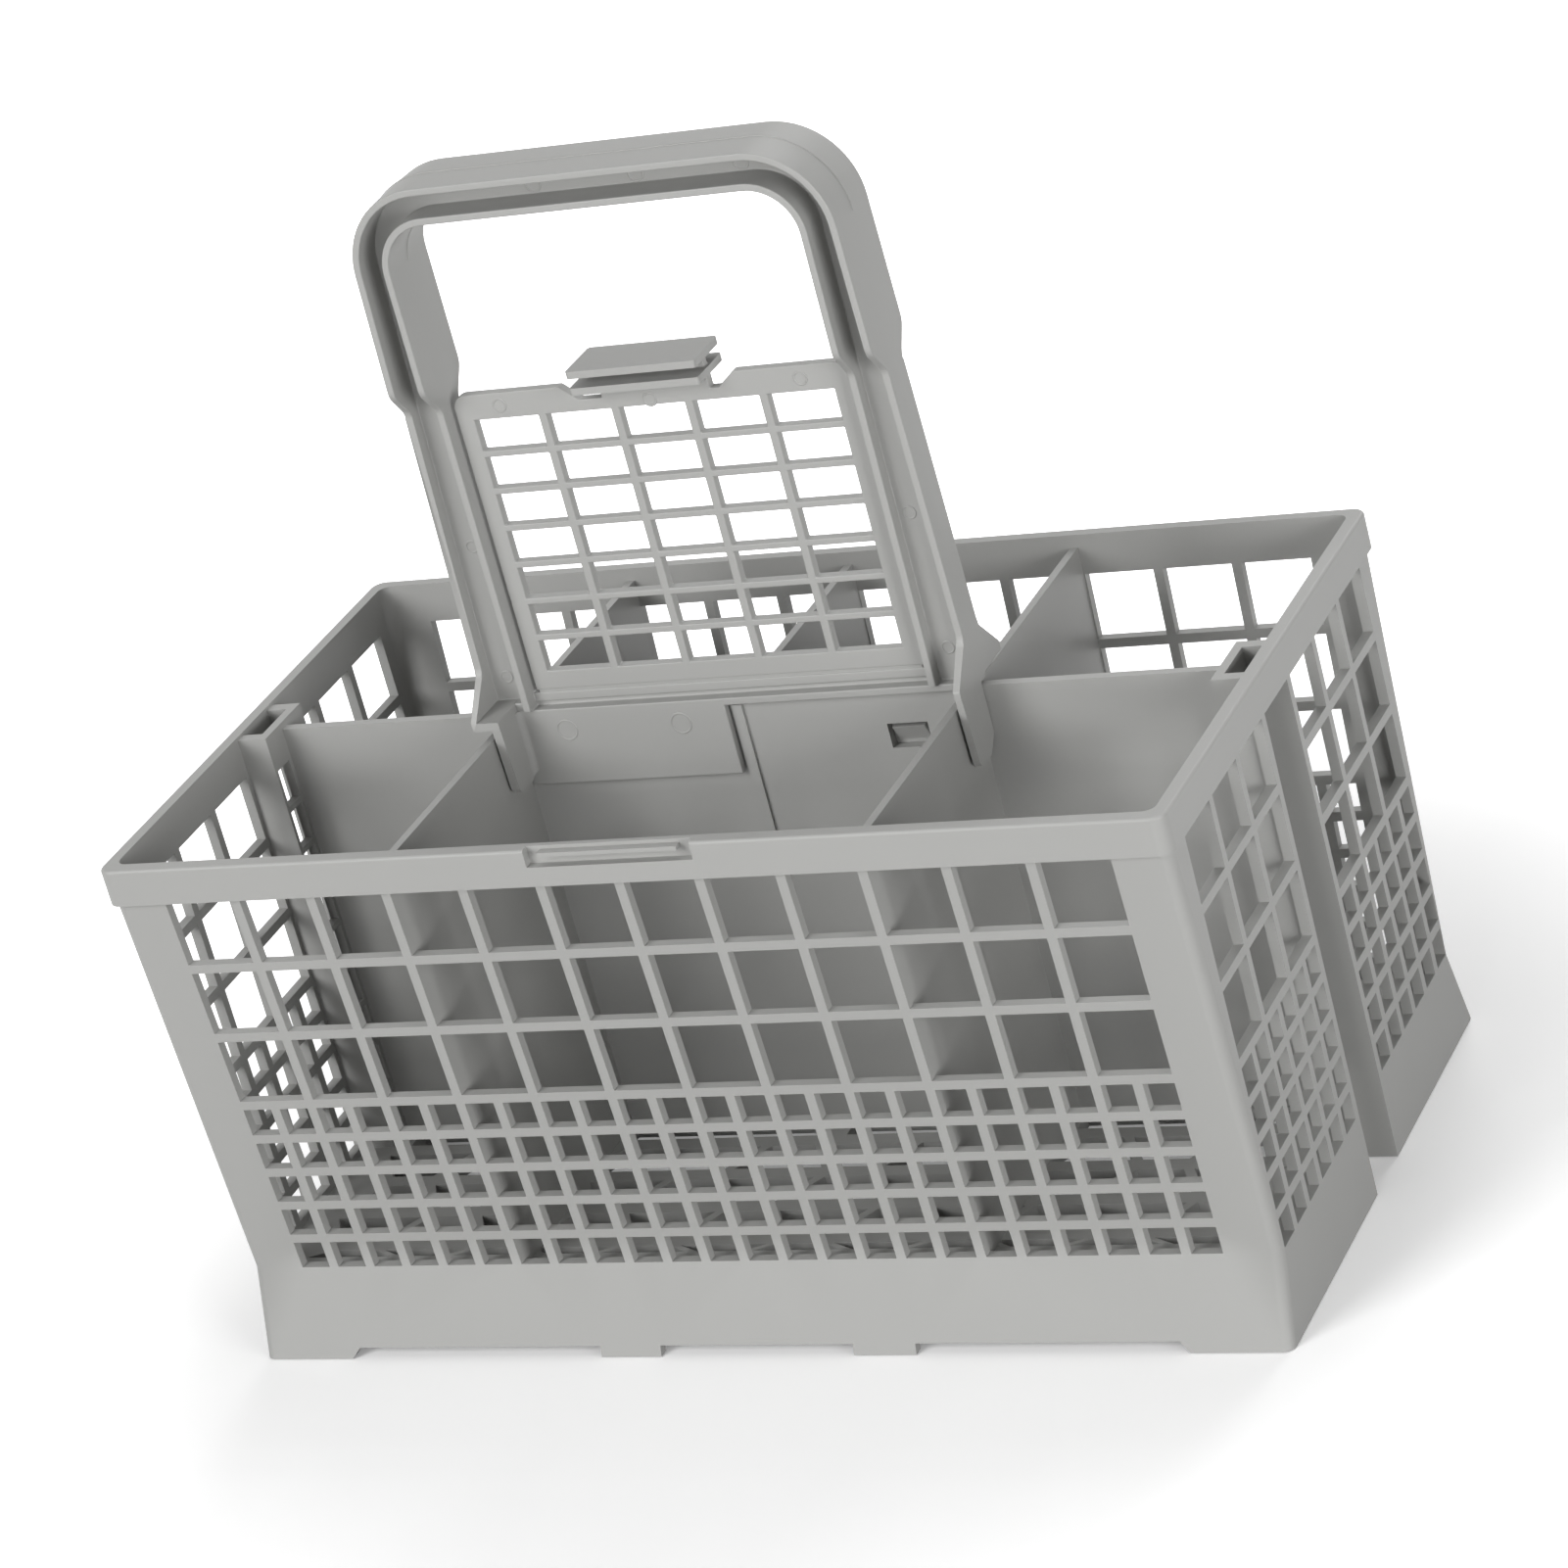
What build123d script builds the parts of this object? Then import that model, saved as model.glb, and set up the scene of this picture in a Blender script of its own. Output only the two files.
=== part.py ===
from build123d import *
from math import radians, tan
import os

os.makedirs("parts", exist_ok=True)

# Driving dimensions in millimetres: X along the length, Y to the back, Z up from the ground.

# Basket shell: upright end walls, long walls that lean out, a band that flares to the ground.
length = 238.0
height = 121.6
top_width = 136.8
waist_width = 122.8
foot_width = 135.0
band_height = 19.5
wall = 2.3
corner_radius = 2.5
rim_proud = 0.9
rim_height = 8.3
rim_radius = 3.2
rim_edge = 0.7

# Wall lattice: coarse rows above, rows of half the pitch below them.
row = 17.3
coarse_rows = 3
fine_rows = 5
bar = 2.15
long_pitch = 17.92
long_columns = 12
end_pitch = 17.3
end_columns = 3
end_first = 9.7

# Channel down the middle of each end wall, with a ladder of slots in its inner wall.
channel_width = 15.2
channel_wall = 2.1
channel_side = 1.0
channel_mouth = 11.8
channel_depth = 7.2
ladder_pitch = 10.2
ladder_slot = 8.9
ladder_width = 5.4
ladder_y = 4.9
ladder_rows = 9

# Partitions.
centre_wall = 2.2
centre_top = 119.4
divider = 1.8
divider_top = 118.7
divider_x = 53.6
rib_width = 2.4
rib_proud = 0.6
rib_x = 0.5

# Floor of bars along the length with diagonal ribs between them.
floor_top = 18.0
floor_thick = 3.0
floor_bar = 4.0
floor_row = 13.35
floor_rows = 4
floor_first = 10.3
floor_bay = 35.84
floor_bays = 6
diagonal_rib = 2.4
diagonal_lean = 5.2
gutter_slot = 49.4
gutter_slots = 4

# Foot notches and the catch at the middle of the front rim.
notch_height = 2.3
notch_middle = 44.6
notch_outer = 60.5
notch_outer_x = 66.75
notch_slope = 2.0
catch_width = 37.4
catch_height = 3.9
catch_depth = 2.0
catch_lip = 31.3
catch_lip_height = 0.9
catch_lip_drop = 0.8

# Handle: an arch of H section that stands on the centre wall.
span = 108.8
foot_span = 114.2
leg_width = 8.2
handle_top = 242.0
grip_height = 8.4
outer_bend = 18.0
inner_bend = 10.0
flange = 1.8
draft = 1.5
web = 2.0
grip_depth = 17.5
leg_depth = 8.4
shoulder_top = 197.0
shoulder_bottom = 191.5
side_bend = 3.5
flare_top = 131.0
flare_bottom = 123.2
foot_depth = 24.2
foot_plate = 1.9
hinge_bar_depth = 2.6
hinge_bar_height = 2.1
hinge_neck_depth = 1.4
hinge_neck_height = 1.1
saddle_depth = 6.4
saddle_height = 1.7
fin_thick = 2.0
fin_drop = 15.8
fin_toe = 3.5
fin_draft = 1.0
fin_round = 2.0
skirt_thick = 1.9
skirt_drop = 16.0
skirt_start = 1.3
skirt_bend = 1.5
fit_clearance = 0.2
tooth_width = 7.6
tooth_height = 4.0
tooth_x = 37.95
tooth_z = 109.1
window_clearance = 0.8

# Flap: a lattice panel on a film hinge, with a finger tab that clips over the rim.
flap_gap = 0.6
flap_side_gap = 1.0
flap_thick = 2.4
flap_top = 193.2
flap_corner = 3.0
flap_columns = 5
flap_rows = 7
flap_pitch_x = 16.9
flap_pitch_z = 8.53
flap_bar_x = 1.9
flap_bar_z = 1.5
flap_open_top = 187.4
tab_notch = 40.0
tab_notch_depth = 3.2
tab_notch_slope = 4.0
tab_neck = 24.8
tab_neck_x = 1.6
tab_width = 29.6
tab_reach = 12.7
tab_plate = 1.6
tab_sink = 0.2
tab_slot = 2.1
tab_web = 1.8

# Sizes that follow from the ones above.
rim_bottom = height - rim_height
lattice_top = band_height + coarse_rows * row + fine_rows * row / 2 - bar
end_wall_x = length / 2
cavity_half = end_wall_x - wall
channel_face = end_wall_x - channel_depth - channel_wall
lean = (top_width - waist_width) / (height - band_height)
floor_width = waist_width - lean * (band_height - floor_top)
saddle_top = centre_top + saddle_height
inner_half = span / 2 - leg_width
foot_half = foot_span / 2
fin_bottom = saddle_top - fin_drop
hinge_top = saddle_top + hinge_neck_height + hinge_bar_height
flap_bottom = hinge_top + flap_gap
flap_half = inner_half - flap_side_gap
tab_bottom = flap_top - tab_sink


def mirrored(points):
    """Closed outline, left and right alike, from the points of its right half."""
    return Polygon(*points, *[(-y, z) for y, z in reversed(points)], align=None)


def trough(long, levels):
    """Block along X whose sides lean through levels of width and height, with rounded corners."""
    outline = mirrored([(width / 2, z) for width, z in levels])
    block = extrude(Plane.YZ * outline, long / 2, both=True)
    uprights = block.edges().filter_by(Axis.X, reverse=True).filter_by(Axis.Y, reverse=True)
    return fillet(uprights, corner_radius)


def cells(columns, rows, pitch_x, pitch_z, bar_x, bar_z):
    """Openings of a lattice, with the top edge of the top row on the X axis."""
    opening = Rectangle(pitch_x - bar_x, pitch_z - bar_z)
    drop = (rows * pitch_z - bar_z) / 2
    grid = GridLocations(pitch_x, pitch_z, columns, rows)
    return [Pos(0, -drop) * spot * opening for spot in grid]


def wall_cells(columns, pitch):
    """Coarse openings above fine ones, as they repeat on all four walls."""
    fine_top = -coarse_rows * row
    coarse = cells(columns, coarse_rows, pitch, row, bar, bar)
    fine = cells(2 * columns, fine_rows, pitch / 2, row / 2, bar, bar)
    return coarse + [Pos(0, fine_top) * cell for cell in fine]


def both_ends(solid):
    """A solid at the +X end with its half-turn twin at the other."""
    return [solid, Rot(0, 0, 180) * solid]


# Basket: shell and rim

shell = trough(length, [(foot_width, 0), (waist_width, band_height), (top_width, height)])
rim = Pos(0, 0, rim_bottom) * extrude(
    RectangleRounded(length + 2 * rim_proud, top_width + 2 * rim_proud, rim_radius), rim_height
)
rim = fillet(rim.faces().sort_by(Axis.Z)[-1].edges(), rim_edge)
inner_length = length - 2 * wall
cavity = trough(inner_length, [(floor_width - 2 * wall, floor_top), (top_width - 2 * wall, height)])
under = trough(
    inner_length, [(foot_width - 2 * wall, 0), (floor_width - 2 * wall, floor_top - floor_thick)]
)
basket = shell + rim - cavity - under

# Basket: lattice of the four walls

long_cells = Pos(0, lattice_top) * (Sketch() + wall_cells(long_columns, long_pitch))
reach = top_width / 2 - waist_width / 2 + 4 * wall
front_cut = extrude(Plane.XZ.offset(waist_width / 2 - 2 * wall) * long_cells, reach)
back_cut = extrude(Plane.XZ.offset(-waist_width / 2 - reach + 2 * wall) * long_cells, reach)
basket -= [front_cut, back_cut]

end_half = end_first + end_columns * end_pitch / 2 - bar / 2
end_cells = [
    Pos(side * end_half, lattice_top) * cell
    for side in (-1, 1)
    for cell in wall_cells(end_columns, end_pitch)
]
end_cut = extrude(Plane.YZ.offset(cavity_half - wall) * (Sketch() + end_cells), 3 * wall)
basket -= both_ends(end_cut)

# Basket: floor with a zigzag of ribs between long bars

half_bay = floor_bay / 2
bay_long = (half_bay - diagonal_rib + diagonal_lean) / 2
bay_short = (half_bay - diagonal_rib - diagonal_lean) / 2
floor_cells = []
for k in range(floor_rows):
    near = floor_first + floor_bar / 2 + k * floor_row
    far = min(near + floor_row - floor_bar, floor_width / 2 - wall - floor_bar)
    for n in range(2 * floor_bays):
        turn = 1 if (n + k) % 2 else -1
        x = (n + 0.5 - floor_bays) * half_bay
        low, high = (bay_long, bay_short) if turn > 0 else (bay_short, bay_long)
        cell = Polygon((x - low, near), (x + low, near), (x + high, far), (x - high, far), align=None)
        floor_cells += [cell, Rot(0, 0, 180) * cell]
gutter = floor_first - floor_bar / 2 - centre_wall
gutter_pitch = floor_bays * floor_bay / gutter_slots
for spot in GridLocations(gutter_pitch, 2 * centre_wall + gutter, gutter_slots, 2):
    floor_cells.append(spot * Rectangle(gutter_slot, gutter))
floor_cut = extrude(Pos(0, 0, floor_top - 2 * floor_thick) * (Sketch() + floor_cells), 3 * floor_thick)
basket -= floor_cut

# Basket: partitions, trimmed to the leaning walls

inside = shell - under
partition_low = floor_top - floor_thick
partitions = [
    Pos(0, 0, partition_low) * extrude(Rectangle(length - wall, centre_wall), centre_top - partition_low)
]
for x in (-divider_x, divider_x):
    partitions.append(
        Pos(x, 0, partition_low) * extrude(Rectangle(divider, top_width), divider_top - partition_low)
    )
half_width = top_width / 2
partitions.append(
    Pos(0, half_width / 2, partition_low)
    * extrude(Rectangle(divider, half_width), divider_top - partition_low)
)
partitions.append(
    Pos(rib_x, -(centre_wall + rib_proud) / 2, partition_low)
    * extrude(Rectangle(rib_width, rib_proud), divider_top - partition_low)
)
window = Pos(0, 0, tooth_z) * Box(
    tooth_width + 2 * window_clearance, 2 * centre_wall, tooth_height + 2 * window_clearance
)
partitions = (Part() + partitions) & inside
partitions -= [Pos(x, 0, 0) * window for x in (-tooth_x, tooth_x)]
basket += partitions

# Basket: end channels

post = Pos(channel_face, 0, 0) * extrude(
    Rectangle(end_wall_x - channel_face, channel_width + 2 * channel_side, align=(Align.MIN, Align.CENTER)),
    height - rim_edge,
)
groove = Pos(channel_face + channel_wall, 0, 0) * extrude(
    Rectangle(channel_depth - wall, channel_mouth, align=(Align.MIN, Align.CENTER)), height
)
groove += Pos(channel_face + channel_wall, 0, 0) * extrude(
    Rectangle(2 * channel_depth, channel_width, align=(Align.MIN, Align.CENTER)), rim_bottom
)
ladder = [
    Pos(side * ladder_y, lattice_top) * cell
    for side in (-1, 1)
    for cell in cells(1, ladder_rows, ladder_width, ladder_pitch, 0, ladder_pitch - ladder_slot)
]
ladder_cut = extrude(
    Plane.YZ.offset(channel_face - channel_wall) * (Sketch() + ladder), 3 * channel_wall
)
basket += both_ends(post)
basket -= both_ends(groove)
basket -= both_ends(ladder_cut)

# Basket: foot notches and front catch

notch = Rectangle(notch_middle, 2 * notch_height)
for side in (-1, 1):
    near = side * (notch_outer_x - notch_outer / 2)
    far = side * (notch_outer_x + notch_outer / 2)
    notch += Polygon(
        (near, -notch_height),
        (far + side * notch_slope, -notch_height),
        (far - side * notch_slope, notch_height),
        (near, notch_height),
        align=None,
    )
basket -= extrude(Plane.XZ * notch, foot_width, both=True)

catch_y = -top_width / 2 - rim_proud
catch = Pos(0, catch_y, height - catch_height) * extrude(Rectangle(catch_width, 2 * catch_depth), catch_height)
lip = Pos(0, catch_y + catch_depth / 2 + 0.1, height - catch_lip_drop - catch_lip_height) * extrude(
    Rectangle(catch_lip, catch_depth), catch_lip_height
)
basket = basket - catch + lip

# Handle: arch with outer and inner flanges and a web between them


def arch(top_half, low_half, top, bend):
    """Arch with rounded shoulders and legs that may spread, drawn on the XZ plane."""
    base = fin_bottom - foot_plate
    outline = mirrored([(low_half, base), (low_half, saddle_top), (top_half, top)])
    return fillet(outline.vertices().group_by(Axis.Y)[-1], bend)


def upright(drawing, depth, start=0, angle=0):
    """Solid to both sides of the XZ plane; a positive angle narrows it from its start."""
    half = Pos(0, 0, start) * extrude(drawing, depth, taper=angle)
    return Rot(90, 0, 0) * (half + mirror(half, Plane.XY))


def fin_outline(side):
    """Blade with a bevelled toe on the front (-1) or back (1) of the centre wall."""
    blade = Polygon(
        (side * fin_face, saddle_top + foot_plate),
        (side * foot_depth / 2, saddle_top + foot_plate),
        (side * (foot_depth / 2 - fin_draft), fin_bottom),
        (side * (fin_face + fin_toe), fin_bottom),
        (side * fin_face, fin_bottom + fin_toe),
        align=None,
    )
    heel = blade.vertices().group_by(Axis.Y)[0].sort_by(Axis.X)[-1 if side > 0 else 0]
    return fillet(heel, fin_round)


def leg_outline(foot_points):
    """Side view of the arch: deep at the grip, slim below the shoulder, ending in the given foot."""
    outline = mirrored(
        [
            (grip_depth / 2, handle_top),
            (grip_depth / 2, shoulder_top),
            (leg_depth / 2, shoulder_bottom),
            *foot_points,
        ]
    )
    bends = outline.vertices().filter_by_position(Axis.Y, flare_top, shoulder_top)
    return fillet(bends, side_bend)


fin_face = centre_wall / 2 + fit_clearance
grip_under = handle_top - grip_height
outer_arch = arch(span / 2, foot_half, handle_top, outer_bend)
outer_core = arch(span / 2 - flange, foot_half - flange, handle_top - flange, outer_bend - flange)
inner_skin = arch(inner_half + flange, inner_half + flange, grip_under + flange, inner_bend + flange)
relief = grip_depth / 2 * tan(radians(draft))
inner_mouth = arch(inner_half + relief, inner_half + relief, grip_under + relief, inner_bend + relief)
outer_flange = upright(outer_arch, foot_depth / 2, 0, draft) - upright(outer_core, foot_depth / 2)
inner_gap = upright(inner_mouth, grip_depth / 2, -grip_depth / 2, draft)
inner_flange = upright(inner_skin, grip_depth / 2) - inner_gap
middle_web = upright(outer_core - inner_skin, web / 2)

outer_leg = leg_outline(
    [(leg_depth / 2, flare_top), (foot_depth / 2, flare_bottom), (foot_depth / 2, saddle_top)]
)
outer_leg += fin_outline(-1)
inner_leg = leg_outline([(leg_depth / 2, saddle_top)])
handle = (inner_flange + middle_web) & extrude(Plane.YZ * inner_leg, foot_half, both=True)
leg_space = Pos(foot_half, 0, 0) * extrude(Plane.YZ * outer_leg, foot_half, both=True)
handle += both_ends(outer_flange & leg_space)

# Handle: foot plates, saddle over the centre wall and hinge bar

fin_inner = divider_x - divider / 2 - 3 * fit_clearance
plate = Rectangle(
    foot_half - flange / 2 - fin_inner + fin_thick, foot_depth / 2, align=(Align.MIN, Align.MIN)
)
handle += both_ends(Pos(fin_inner - fin_thick, 0, saddle_top) * extrude(plate, foot_plate))
handle += Pos(0, 0, centre_top) * extrude(Rectangle(foot_span - flange, saddle_depth), saddle_height)
bar_length = 2 * inner_half + flange
handle += Pos(0, 0, saddle_top) * extrude(Rectangle(bar_length, hinge_neck_depth), hinge_neck_height)
handle += Pos(0, 0, hinge_top - hinge_bar_height) * extrude(
    Rectangle(bar_length, hinge_bar_depth), hinge_bar_height
)

# Handle: inner fins beside the dividers, and skirts with snap teeth, as half-turn twins

fin_x = fin_inner - fin_thick / 2
inner_fin = Pos(-fin_x, 0, 0) * extrude(Plane.YZ * fin_outline(-1), fin_thick / 2, both=True)
skirt_face = fin_face + skirt_thick
skirt = Pos(-skirt_start, -fin_face, centre_top - skirt_drop) * extrude(
    Rectangle(fin_x - skirt_start, skirt_thick, align=(Align.MAX, Align.MAX)), skirt_drop + saddle_height
)
apron = inner_fin + skirt
nook = apron.edges().filter_by(Axis.Z).sort_by_distance((fin_thick - fin_inner, -skirt_face, centre_top))
apron = fillet(nook[0], skirt_bend)
tooth_outline = Polygon(
    (-fin_face - skirt_thick / 2, tooth_height / 2),
    (centre_wall / 2, tooth_height / 2),
    (-fin_face, -tooth_height / 2),
    (-fin_face - skirt_thick / 2, -tooth_height / 2),
    align=None,
)
tooth = Pos(-tooth_x, 0, tooth_z) * extrude(Plane.YZ * tooth_outline, tooth_width / 2, both=True)
handle += both_ends(apron)
handle += both_ends(tooth)

# Flap: lattice panel with a notched top edge

flap_height = flap_top - flap_bottom
panel = Pos(0, flap_bottom) * Rectangle(2 * flap_half, flap_height, align=(Align.CENTER, Align.MIN))
panel = fillet(panel.vertices().group_by(Axis.Y)[-1], flap_corner)
panel -= [
    Pos(0, flap_open_top) * cell
    for cell in cells(flap_columns, flap_rows, flap_pitch_x, flap_pitch_z, flap_bar_x, flap_bar_z)
]
notch_floor = flap_top - tab_notch_depth
panel -= Polygon(
    (-tab_notch / 2 + tab_notch_slope, notch_floor),
    (tab_notch / 2 - tab_notch_slope, notch_floor),
    (tab_notch / 2, flap_top),
    (-tab_notch / 2, flap_top),
    align=None,
)
panel += Pos(tab_neck_x, notch_floor) * Rectangle(
    tab_neck, tab_notch_depth, align=(Align.CENTER, Align.MIN)
)
flap = extrude(Plane.XZ * panel, flap_thick / 2, both=True)

# Flap: finger tab of two plates with a slot between them

plate_shape = RectangleRounded(tab_width, tab_reach, 0.8)
upper_plate = tab_bottom + tab_plate + tab_slot
flap += Pos(0, 0, tab_bottom) * extrude(plate_shape, tab_plate)
flap += Pos(0, 0, upper_plate) * extrude(plate_shape, tab_plate)
flap += Pos(tab_neck_x, 0, tab_bottom) * extrude(Rectangle(tab_neck, tab_web), upper_plate - tab_bottom)

export_step(basket, "parts/basket.step")
export_step(handle, "parts/handle.step")
export_step(flap, "parts/flap.step")
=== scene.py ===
import math

import bmesh
import bpy
from mathutils import Matrix, Vector


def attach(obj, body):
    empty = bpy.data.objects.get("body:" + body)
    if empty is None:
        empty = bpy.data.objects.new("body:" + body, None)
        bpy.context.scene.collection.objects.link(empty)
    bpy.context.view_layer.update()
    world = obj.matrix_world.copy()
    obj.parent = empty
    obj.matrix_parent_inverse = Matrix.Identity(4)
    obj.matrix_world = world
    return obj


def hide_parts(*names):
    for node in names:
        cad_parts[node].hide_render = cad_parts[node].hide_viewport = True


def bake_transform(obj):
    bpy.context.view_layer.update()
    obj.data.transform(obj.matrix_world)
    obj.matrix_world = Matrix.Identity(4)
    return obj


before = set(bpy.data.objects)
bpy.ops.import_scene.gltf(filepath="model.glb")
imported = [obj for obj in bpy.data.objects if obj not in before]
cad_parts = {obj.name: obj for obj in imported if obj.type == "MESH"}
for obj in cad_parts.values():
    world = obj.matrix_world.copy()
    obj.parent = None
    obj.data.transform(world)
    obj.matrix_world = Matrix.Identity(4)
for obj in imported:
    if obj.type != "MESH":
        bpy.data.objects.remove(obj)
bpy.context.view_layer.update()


# Basket: one injection moulding in light grey polypropylene. Rim, lattice walls, floor and partitions
# leave the mould together. The steel is finely eroded, so the faces are satin; the lattice is crisp and
# the rim carries the round of the CAD solid.


class Wire:
    """An output socket of a material's tree. Arithmetic on it adds Math nodes."""

    def __init__(self, tree, socket=None):
        self.tree = tree
        self.socket = socket

    def add(self, kind, settings=None, sockets=None, output=0):
        """A new node: its settings first, then the values or links of its sockets."""
        node = self.tree.nodes.new(kind)
        for name, value in (settings or {}).items():
            setattr(node, name, value)
        for key, value in (sockets or {}).items():
            if isinstance(value, Wire):
                self.tree.links.new(value.socket, node.inputs[key])
            else:
                node.inputs[key].default_value = value
        return Wire(self.tree, node.outputs[output])

    def maths(self, operation, first, second):
        return self.add("ShaderNodeMath", {"operation": operation}, {0: first, 1: second})

    def __add__(self, other):
        return self.maths("ADD", self, other)

    def __mul__(self, other):
        return self.maths("MULTIPLY", self, other)

    __radd__ = __add__
    __rmul__ = __mul__


def polypropylene(name, colour, flow):
    """Satin moulded polypropylene; flow gives the stretch of its faint filling streaks on X, Y and Z."""
    material = bpy.data.materials.new(name)
    material.use_nodes = True
    tree = material.node_tree
    skin = tree.nodes["Principled BSDF"]
    place = Wire(tree).add("ShaderNodeTexCoord", output="Object")
    stretched = place.add("ShaderNodeMapping", {}, {"Vector": place, "Scale": flow})
    cloud = place.add("ShaderNodeTexNoise", {}, {"Vector": place, "Scale": 11.0, "Detail": 3.0})
    streak = place.add("ShaderNodeTexNoise", {}, {"Vector": stretched, "Scale": 1.0, "Detail": 4.0})
    grain = place.add("ShaderNodeTexNoise", {}, {"Vector": place, "Scale": 2600.0, "Detail": 2.0})
    orange = place.add("ShaderNodeTexNoise", {}, {"Vector": place, "Scale": 420.0, "Detail": 1.0})
    tone = 0.6 * cloud + 0.2 * streak + 0.2 * grain
    pale = (*[c * 1.045 for c in colour], 1.0)
    deep = (*[c * 0.955 for c in colour], 1.0)
    tint = place.add(
        "ShaderNodeMix", {"data_type": "RGBA"}, {"Factor": tone, 6: deep, 7: pale}, output=2
    )
    tree.links.new(tint.socket, skin.inputs["Base Color"])
    satin = 0.40 + 0.10 * cloud + 0.08 * grain
    tree.links.new(satin.socket, skin.inputs["Roughness"])
    skin.inputs["IOR"].default_value = 1.49
    skin.inputs["Specular IOR Level"].default_value = 0.42
    relief = 0.7 * grain + 0.3 * orange
    bump = place.add("ShaderNodeBump", {}, {"Height": relief, "Strength": 0.16, "Distance": 0.00006})
    tree.links.new(bump.socket, skin.inputs["Normal"])
    return material


def moulding(node, name, width=0.0):
    """A merged copy of a CAD node, its sharp edges kept crisp, or rounded by the cutter's radius width.

    Edges that end at a detail finer than the radius stay crisp, because a round there would fold over.
    """
    flat, sharp, crisp = math.radians(1.0), math.radians(28), math.radians(50)
    mould = bmesh.new()
    mould.from_mesh(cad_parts[node].data)
    bmesh.ops.remove_doubles(mould, verts=mould.verts, dist=2e-6)
    if width:
        bmesh.ops.dissolve_limit(
            mould, angle_limit=flat, verts=mould.verts, edges=mould.edges, delimit={"NORMAL"}
        )
        roomy = {v for v in mould.verts if all(e.calc_length() > 1.2 * width for e in v.link_edges)}
        rounded = [
            e for e in mould.edges
            if e.is_manifold and e.calc_face_angle(0.0) > sharp and roomy.issuperset(e.verts)
        ]
        bmesh.ops.bevel(
            mould, geom=rounded, offset=width, offset_type="OFFSET", segments=2, profile=0.5,
            affect="EDGES", clamp_overlap=False,
        )
    for face in mould.faces:
        face.smooth = True
    for edge in mould.edges:
        edge.smooth = edge.calc_face_angle(0.0) < crisp
    mesh = bpy.data.meshes.new(name)
    mould.to_mesh(mesh)
    mould.free()
    piece = bpy.data.objects.new(name, mesh)
    bpy.context.collection.objects.link(piece)
    weighted = piece.modifiers.new("flat faces", "WEIGHTED_NORMAL")
    weighted.mode = "FACE_AREA"
    weighted.weight = 100
    weighted.keep_sharp = True
    return piece


basket_grey = (0.352, 0.352, 0.342)
basket = moulding("basket", "basket_shell")
basket.data.materials.append(polypropylene("basket polypropylene", basket_grey, (90.0, 90.0, 9.0)))
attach(basket, "basket_body")
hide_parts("basket")


# Handle: a second moulding of the same grey, an arch of H section. Its fins straddle the dividers and
# its snap teeth hold in the windows of the centre wall. The ejector pins of the mould leave round marks
# on the web of the arch and on the skirts.


def ejector_tree():
    """Geometry tree: a low ring on every point of a mesh, standing on a face that looks along -Y."""
    tree = bpy.data.node_groups.new("ejector marks", "GeometryNodeTree")
    tree.interface.new_socket("Geometry", in_out="INPUT", socket_type="NodeSocketGeometry")
    tree.interface.new_socket("Ring radius", in_out="INPUT", socket_type="NodeSocketFloat")
    tree.interface.new_socket("Lip", in_out="INPUT", socket_type="NodeSocketFloat")
    tree.interface.new_socket("Material", in_out="INPUT", socket_type="NodeSocketMaterial")
    tree.interface.new_socket("Geometry", in_out="OUTPUT", socket_type="NodeSocketGeometry")
    given = tree.nodes.new("NodeGroupInput")
    spots, radius, lip, material = [Wire(tree, given.outputs[n]) for n in range(4)]
    ring = spots.add("GeometryNodeCurvePrimitiveCircle", {}, {"Resolution": 40, "Radius": radius})
    bead = spots.add("GeometryNodeCurvePrimitiveCircle", {}, {"Resolution": 8, "Radius": lip})
    torus = spots.add("GeometryNodeCurveToMesh", {}, {"Curve": ring, "Profile Curve": bead})
    marks = spots.add(
        "GeometryNodeInstanceOnPoints",
        {},
        {"Points": spots, "Instance": torus, "Rotation": (math.radians(90), 0.0, 0.0)},
    )
    whole = spots.add("GeometryNodeRealizeInstances", {}, {"Geometry": marks})
    painted = spots.add("GeometryNodeSetMaterial", {}, {"Geometry": whole, "Material": material})
    out = tree.nodes.new("NodeGroupOutput")
    tree.links.new(painted.socket, out.inputs["Geometry"])
    return tree


def grown(mesh, tree, values):
    """A piece named as its mesh, made by a geometry tree with the values of its named inputs."""
    piece = bpy.data.objects.new(mesh.name, mesh)
    bpy.context.collection.objects.link(piece)
    maker = piece.modifiers.new("maker", "NODES")
    maker.node_group = tree
    sockets = {s.name: s.identifier for s in tree.interface.items_tree if s.in_out == "INPUT"}
    for name, value in values.items():
        maker[sockets[name]] = value
    bpy.context.view_layer.update()
    shown = piece.evaluated_get(bpy.context.evaluated_depsgraph_get())
    made = bpy.data.meshes.new_from_object(shown)
    piece.modifiers.remove(maker)
    piece.data = made
    for polygon in made.polygons:
        polygon.use_smooth = True
    return piece


def ejector_marks(name, spots, face, radius, material):
    """Rings of one size at (x, z) spots, partly sunk in the face at depth y; sizes in metres."""
    lip, sunk = 0.00027, 0.00011
    mesh = bpy.data.meshes.new(name)
    mesh.from_pydata([(x, face + sunk, z) for x, z in spots], [], [])
    return grown(mesh, ejector_rings, {"Ring radius": radius, "Lip": lip, "Material": material})


handle_grey = (0.349, 0.349, 0.339)
handle_plastic = polypropylene("handle polypropylene", handle_grey, (60.0, 60.0, 14.0))
handle = moulding("handle", "handle_arch", 0.00030)
handle.data.materials.append(handle_plastic)
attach(handle, "basket_body")
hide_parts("handle")

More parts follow.
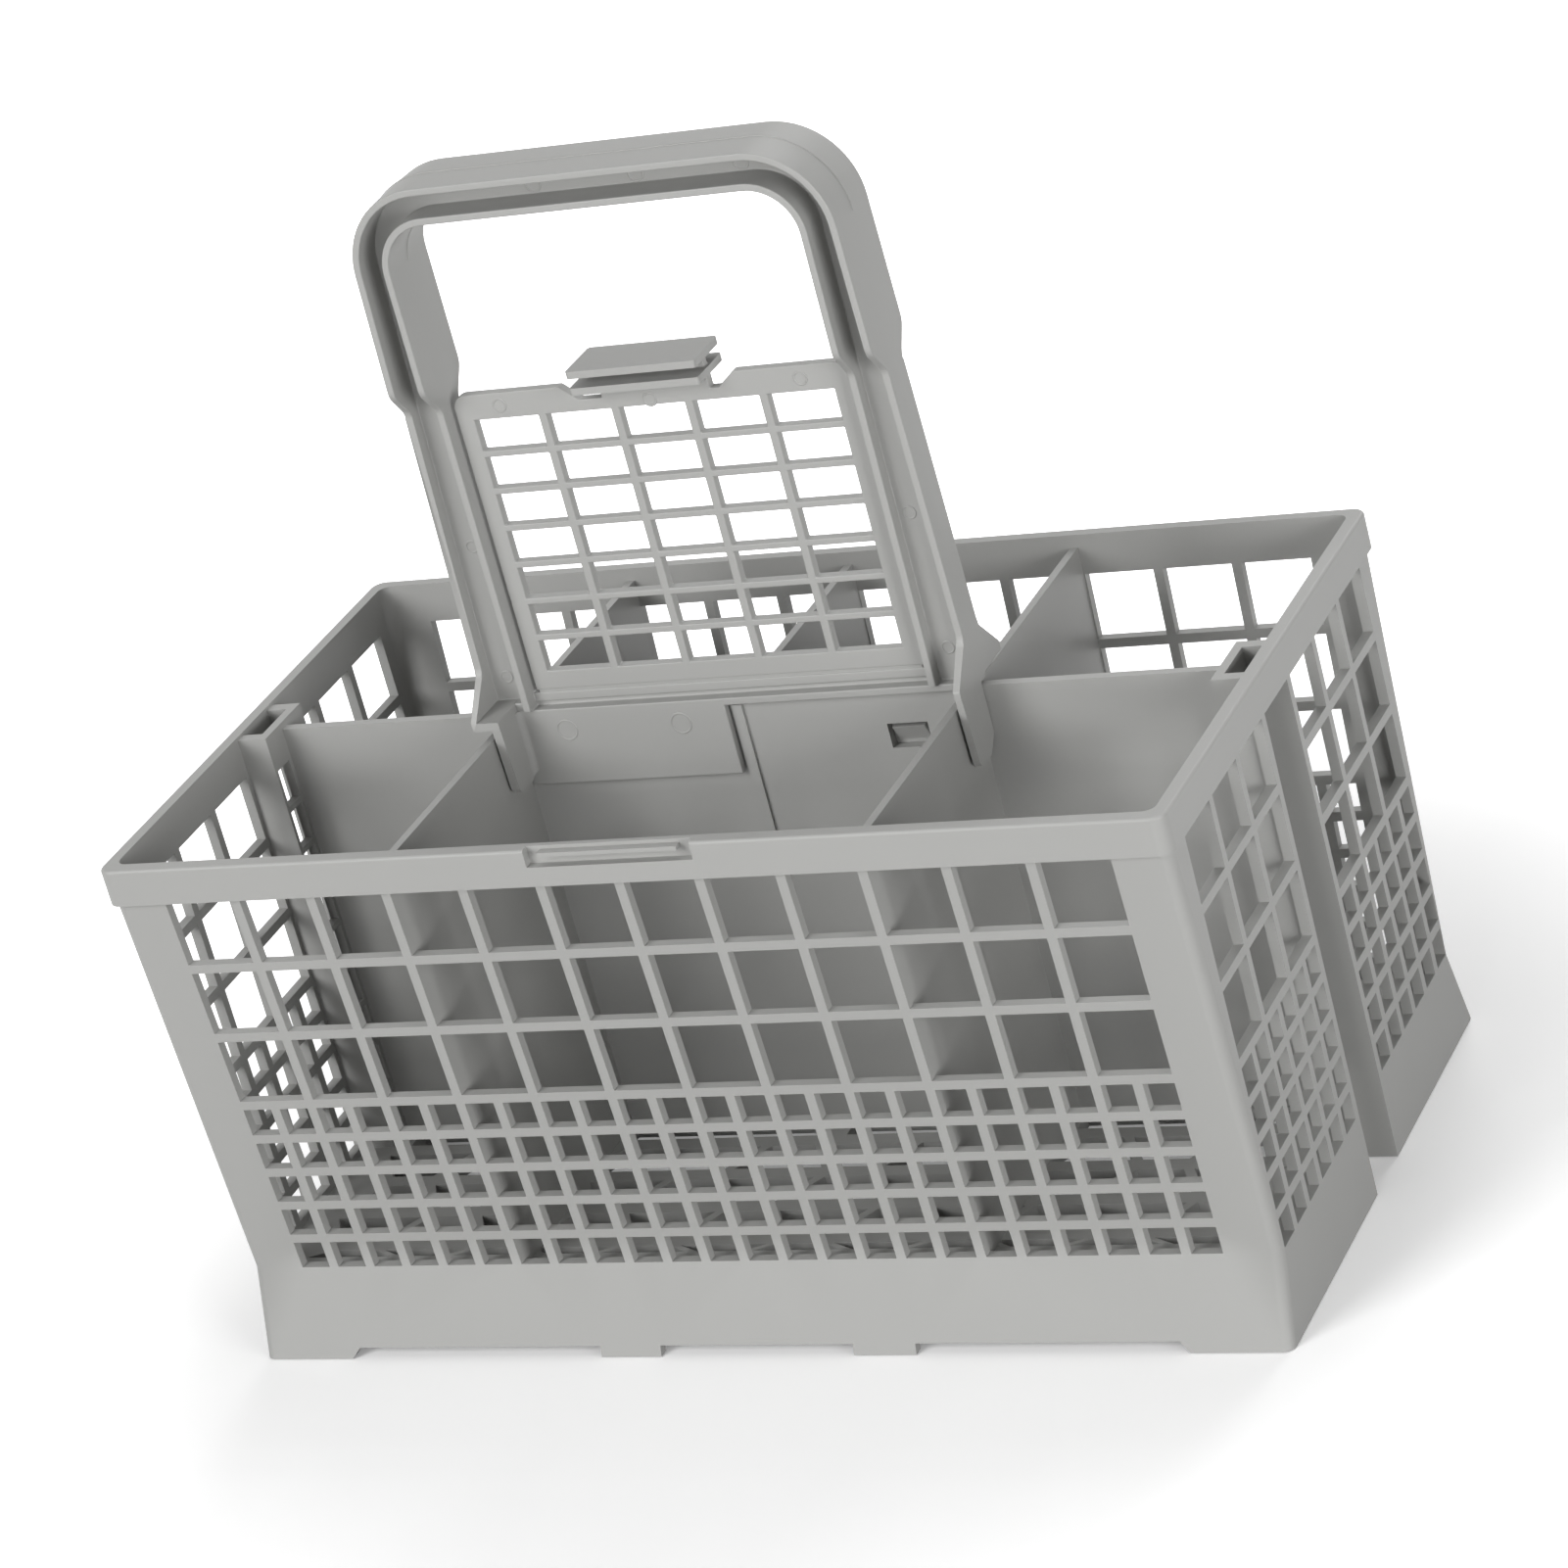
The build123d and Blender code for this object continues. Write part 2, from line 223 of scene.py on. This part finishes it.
corner_low = Vector((-0.0503, -0.00315, 0.1206))
corner_high = Vector((-0.0478, -0.0008, 0.12296))
corners = bmesh.new()
for half_turn in (0.0, math.pi):
    block = bmesh.ops.create_cube(corners, size=1.0)["verts"]
    bmesh.ops.scale(corners, verts=block, vec=corner_high - corner_low)
    bmesh.ops.translate(corners, verts=block, vec=(corner_high + corner_low) / 2)
    bmesh.ops.rotate(corners, verts=block, matrix=Matrix.Rotation(half_turn, 3, "Z"))
bmesh.ops.bevel(
    corners, geom=corners.edges[:], offset=0.0003, offset_type="OFFSET", segments=2, profile=0.5,
    affect="EDGES",
)
corner_mesh = bpy.data.meshes.new("saddle_corners")
corners.to_mesh(corner_mesh)
corners.free()
saddle_corners = bpy.data.objects.new("saddle_corners", corner_mesh)
bpy.context.collection.objects.link(saddle_corners)
saddle_corners.data.materials.append(handle_plastic)
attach(saddle_corners, "basket_body")

ejector_rings = ejector_tree()
web_front = -0.0010
skirt_front = -0.0032
grip_spots = [(-0.0128, 0.2373), (0.0105, 0.2373), (0.0340, 0.2373)]
leg_spots = [(side * x, z) for side in (-1, 1) for x, z in ((0.0506, 0.1590), (0.0514, 0.1284))]
skirt_spots = [(-0.0395, 0.1160), (-0.0124, 0.1160)]
for name, spots, face, radius in (
    ("grip_marks", grip_spots, web_front, 0.0016),
    ("leg_marks", leg_spots, web_front, 0.0013),
    ("skirt_marks", skirt_spots, skirt_front, 0.0023),
):
    marks = ejector_marks(name, spots, face, radius, handle_plastic)
    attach(marks, "basket_body")


# Parting line: the fine bead of plastic along the middle of the grip and its bends, where the halves of
# the mould met. It follows the crease between the two drafts of the arch.


def parting_tree():
    """Geometry tree: a round bead along the edges of a mesh."""
    tree = bpy.data.node_groups.new("parting line", "GeometryNodeTree")
    tree.interface.new_socket("Geometry", in_out="INPUT", socket_type="NodeSocketGeometry")
    tree.interface.new_socket("Bead radius", in_out="INPUT", socket_type="NodeSocketFloat")
    tree.interface.new_socket("Material", in_out="INPUT", socket_type="NodeSocketMaterial")
    tree.interface.new_socket("Geometry", in_out="OUTPUT", socket_type="NodeSocketGeometry")
    given = tree.nodes.new("NodeGroupInput")
    crease, radius, material = [Wire(tree, given.outputs[n]) for n in range(3)]
    path = crease.add("GeometryNodeMeshToCurve", {}, {"Mesh": crease})
    section = crease.add("GeometryNodeCurvePrimitiveCircle", {}, {"Resolution": 6, "Radius": radius})
    bead = crease.add(
        "GeometryNodeCurveToMesh", {}, {"Curve": path, "Profile Curve": section, "Fill Caps": True}
    )
    whole = crease.add("GeometryNodeRealizeInstances", {}, {"Geometry": bead})
    painted = crease.add("GeometryNodeSetMaterial", {}, {"Geometry": whole, "Material": material})
    out = tree.nodes.new("NodeGroupOutput")
    tree.links.new(painted.socket, out.inputs["Geometry"])
    return tree


parting_from = 0.1250
crease = bmesh.new()
crease.from_mesh(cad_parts["handle"].data)
bmesh.ops.remove_doubles(crease, verts=crease.verts, dist=2e-6)
kept = [
    e for e in crease.edges
    if all(abs(v.co.y) < 1e-5 and v.co.z > parting_from for v in e.verts)
    and e.is_manifold and math.radians(1.0) < e.calc_face_angle(0.0) < math.radians(10.0)
]
kept_verts = list({v for e in kept for v in e.verts})
place_of = {v: n for n, v in enumerate(kept_verts)}
parting_mesh = bpy.data.meshes.new("parting_line")
parting_mesh.from_pydata(
    [tuple(v.co) for v in kept_verts], [(place_of[e.verts[0]], place_of[e.verts[1]]) for e in kept], []
)
crease.free()
bead_radius = 0.00018
parting = grown(parting_mesh, parting_tree(), {"Bead radius": bead_radius, "Material": handle_plastic})
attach(parting, "basket_body")


# Flap: the lattice panel in the arch, moulded with the handle. It folds forward until its finger tab
# clips in front of the catch on the rim. Pins of the mould leave marks on its top bar too.

flap_plastic = polypropylene("flap polypropylene", handle_grey, (14.0, 60.0, 60.0))
flap = moulding("flap", "flap_panel", 0.00030)
flap.data.materials.append(flap_plastic)
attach(flap, "flap_body")
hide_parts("flap")

flap_front = -0.0012
flap_spots = [(-0.0345, 0.1903), (0.0, 0.1887), (0.0345, 0.1903)]
marks = ejector_marks("flap_marks", flap_spots, flap_front, 0.0014, flap_plastic)
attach(marks, "flap_body")


# Film hinge: the thin strip of plastic, moulded in one shot with both, that joins the flap's foot to the
# hinge bar. It closes the gap between them.

film_low, film_high = 0.1242, 0.1250
film_front, film_back = -0.00105, -0.00065
film_half = 0.0446
film_rows = 6
film_mesh = bmesh.new()
loops = []
for k in range(film_rows + 1):
    z = film_low + (film_high - film_low) * k / film_rows
    outline = [
        (-film_half, film_front, z),
        (film_half, film_front, z),
        (film_half, film_back, z),
        (-film_half, film_back, z),
    ]
    loops.append([film_mesh.verts.new(corner) for corner in outline])
for below, above in zip(loops, loops[1:]):
    for k in range(4):
        film_mesh.faces.new((below[k], below[(k + 1) % 4], above[(k + 1) % 4], above[k]))
film_mesh.faces.new(reversed(loops[0]))
film_mesh.faces.new(loops[-1])
film_data = bpy.data.meshes.new("film_hinge")
film_mesh.to_mesh(film_data)
film_mesh.free()
film = bpy.data.objects.new("film_hinge", film_data)
bpy.context.collection.objects.link(film)
film.data.materials.append(handle_plastic)
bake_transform(film)


# Stage: a seamless white table under soft studio light. The table and the studio round it are white
# to the camera and in reflections, and the table keeps the basket's shadow. Its white glow is also
# turned down towards the basket's middle, a painted shade round and under the basket.


def white_to_the_eye(tree):
    """One for the rays that see or mirror the studio, nought for those that only carry its light."""
    seen, mirrored, through = [
        Wire(tree).add("ShaderNodeLightPath", output=name)
        for name in ("Is Camera Ray", "Is Glossy Ray", "Is Transmission Ray")
    ]
    return seen + mirrored + through


bpy.ops.mesh.primitive_plane_add(size=12.0)
table = bpy.context.object
table.name = "table"
table.location = (0.0, 0.0, -0.0002)
sheet = bpy.data.materials.new("white table")
sheet.use_nodes = True
sheet_tree = sheet.node_tree
sheet_tree.nodes["Principled BSDF"].inputs["Roughness"].default_value = 0.9
sheet_tree.nodes["Principled BSDF"].inputs["Specular IOR Level"].default_value = 0.0
seen = white_to_the_eye(sheet_tree)
dusk = (0.12, 0.12, 0.12, 1.0)
pale_sheet = (0.92, 0.92, 0.92, 1.0)
cover = seen.add(
    "ShaderNodeMix", {"data_type": "RGBA"}, {"Factor": seen, 6: dusk, 7: pale_sheet}, output=2
)
sheet_tree.links.new(cover.socket, sheet_tree.nodes["Principled BSDF"].inputs["Base Color"])
# Painted shade: the table's glow rises from a dim level near the basket's middle to full white farther
# out, so the table is darker round and under the basket.
spot = seen.add("ShaderNodeTexCoord", output="Object")
reach = seen.add("ShaderNodeVectorMath", {"operation": "LENGTH"}, {0: spot}, output="Value")
painted_shade_ramp = seen.add(
    "ShaderNodeMapRange",
    {"interpolation_type": "SMOOTHSTEP"},
    {"Value": reach, "From Min": 0.12, "From Max": 0.32, "To Min": 0.0, "To Max": 1.0},
)
# The dim glow near the basket, which leaves the painted shade there.
painted_shade_glow = (0.16, 0.16, 0.16, 1.0)
far_glow = (1.0, 1.0, 1.0, 1.0)
glow = seen.add(
    "ShaderNodeMix", {"data_type": "RGBA"}, {"Factor": painted_shade_ramp, 6: painted_shade_glow, 7: far_glow}, output=2
)
lift = seen.add("ShaderNodeEmission", {}, {"Color": glow, "Strength": seen})
both = seen.add("ShaderNodeAddShader")
sheet_tree.links.new(sheet_tree.nodes["Principled BSDF"].outputs[0], both.socket.node.inputs[0])
sheet_tree.links.new(lift.socket, both.socket.node.inputs[1])
sheet_tree.links.new(both.socket, sheet_tree.nodes["Material Output"].inputs["Surface"])
table.data.materials.append(sheet)

world = bpy.data.worlds.new("studio")
bpy.context.scene.world = world
world.use_nodes = True
sky = world.node_tree.nodes["Background"]
level = white_to_the_eye(world.node_tree)
world.node_tree.links.new(level.socket, sky.inputs["Strength"])
sky.inputs["Color"].default_value = (1.0, 1.0, 1.0, 1.0)


def softbox(name, place, target, width, height, power):
    lamp = bpy.data.lights.new(name, "AREA")
    lamp.shape = "RECTANGLE"
    lamp.size = width
    lamp.size_y = height
    lamp.energy = power
    box = bpy.data.objects.new(name, lamp)
    bpy.context.collection.objects.link(box)
    box.location = place
    box.rotation_mode = "QUATERNION"
    aim = Vector(target) - Vector(place)
    box.rotation_quaternion = aim.to_track_quat("-Z", "Y")


middle = (0.0, 0.0, 0.09)
softbox("front left softbox", (-0.90, -1.40, 0.90), middle, 1.0, 1.0, 25.0)
softbox("low front softbox", (0.10, -1.80, 0.15), middle, 0.8, 0.8, 10.5)
softbox("right softbox", (1.00, -0.62, 0.18), middle, 0.6, 0.6, 11.0)
softbox("back softbox", (0.20, 1.70, 0.35), middle, 1.0, 1.0, 8.0)
softbox("back top softbox", (0.0, 1.20, 1.40), middle, 1.0, 1.0, 11.0)
softbox("top softbox", (0.0, 0.0, 1.80), middle, 1.2, 1.2, 7.0)


# Camera: a long lens from the front right and above, rolled a little, as the photograph was taken.

lens = bpy.data.cameras.new("camera")
lens.sensor_width = 36.0
lens.lens = 129.2
camera = bpy.data.objects.new("camera", lens)
bpy.context.collection.objects.link(camera)
right = Vector((0.8992130, 0.3637112, -0.2431671))
up = Vector((0.0502627, 0.4662374, 0.8832306))
back = Vector((0.4346144, -0.8064347, 0.4009656))
turn = Matrix((right, up, back)).transposed()
camera.matrix_world = Matrix.Translation((0.520004, -0.954355, 0.573325)) @ turn.to_4x4()
lens.clip_start = 0.05
lens.clip_end = 30.0
bpy.context.scene.camera = camera

bpy.context.scene.view_settings.view_transform = "Standard"
